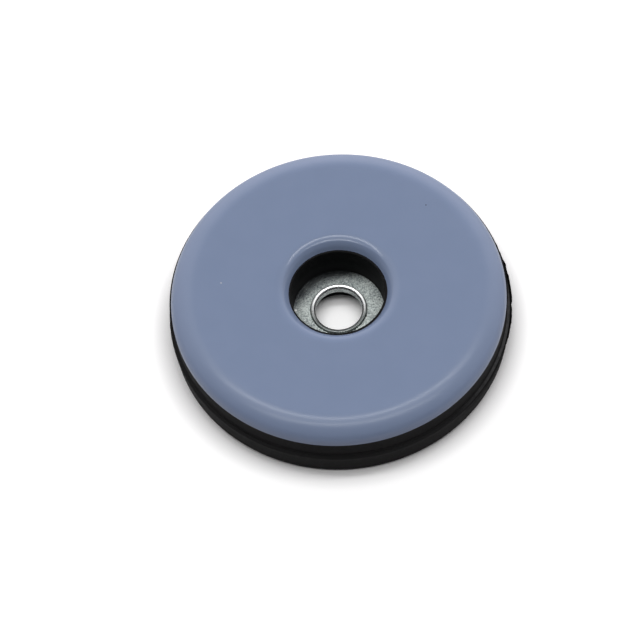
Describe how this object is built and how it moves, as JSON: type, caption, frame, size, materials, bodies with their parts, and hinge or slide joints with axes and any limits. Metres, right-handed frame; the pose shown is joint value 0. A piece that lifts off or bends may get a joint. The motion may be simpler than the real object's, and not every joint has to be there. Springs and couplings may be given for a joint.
{
  "type": "ptfe furniture glide",
  "caption": "Round screw-on furniture glide: a rounded PTFE running face bonded over a rubber disc, with a steel washer at the bottom of its screw recess.",
  "frame": {"origin": "centre of the mounting face, on the axis of the screw hole", "axes": "+Z along the screw hole, from the mounting face towards the running face; X and Y lie in the mounting face and the part is round about Z"},
  "size_m": [0.0304, 0.0304, 0.006],
  "materials": {
    "ptfe": "satin",
    "rubber": "matte",
    "zinc_plated_steel": "bright zinc, lightly mottled"
  },
  "bodies": {
    "root": {"ptfe_face": "ptfe", "rubber_body": "rubber", "steel_washer": "zinc_plated_steel"}
  },
  "joints": []
}
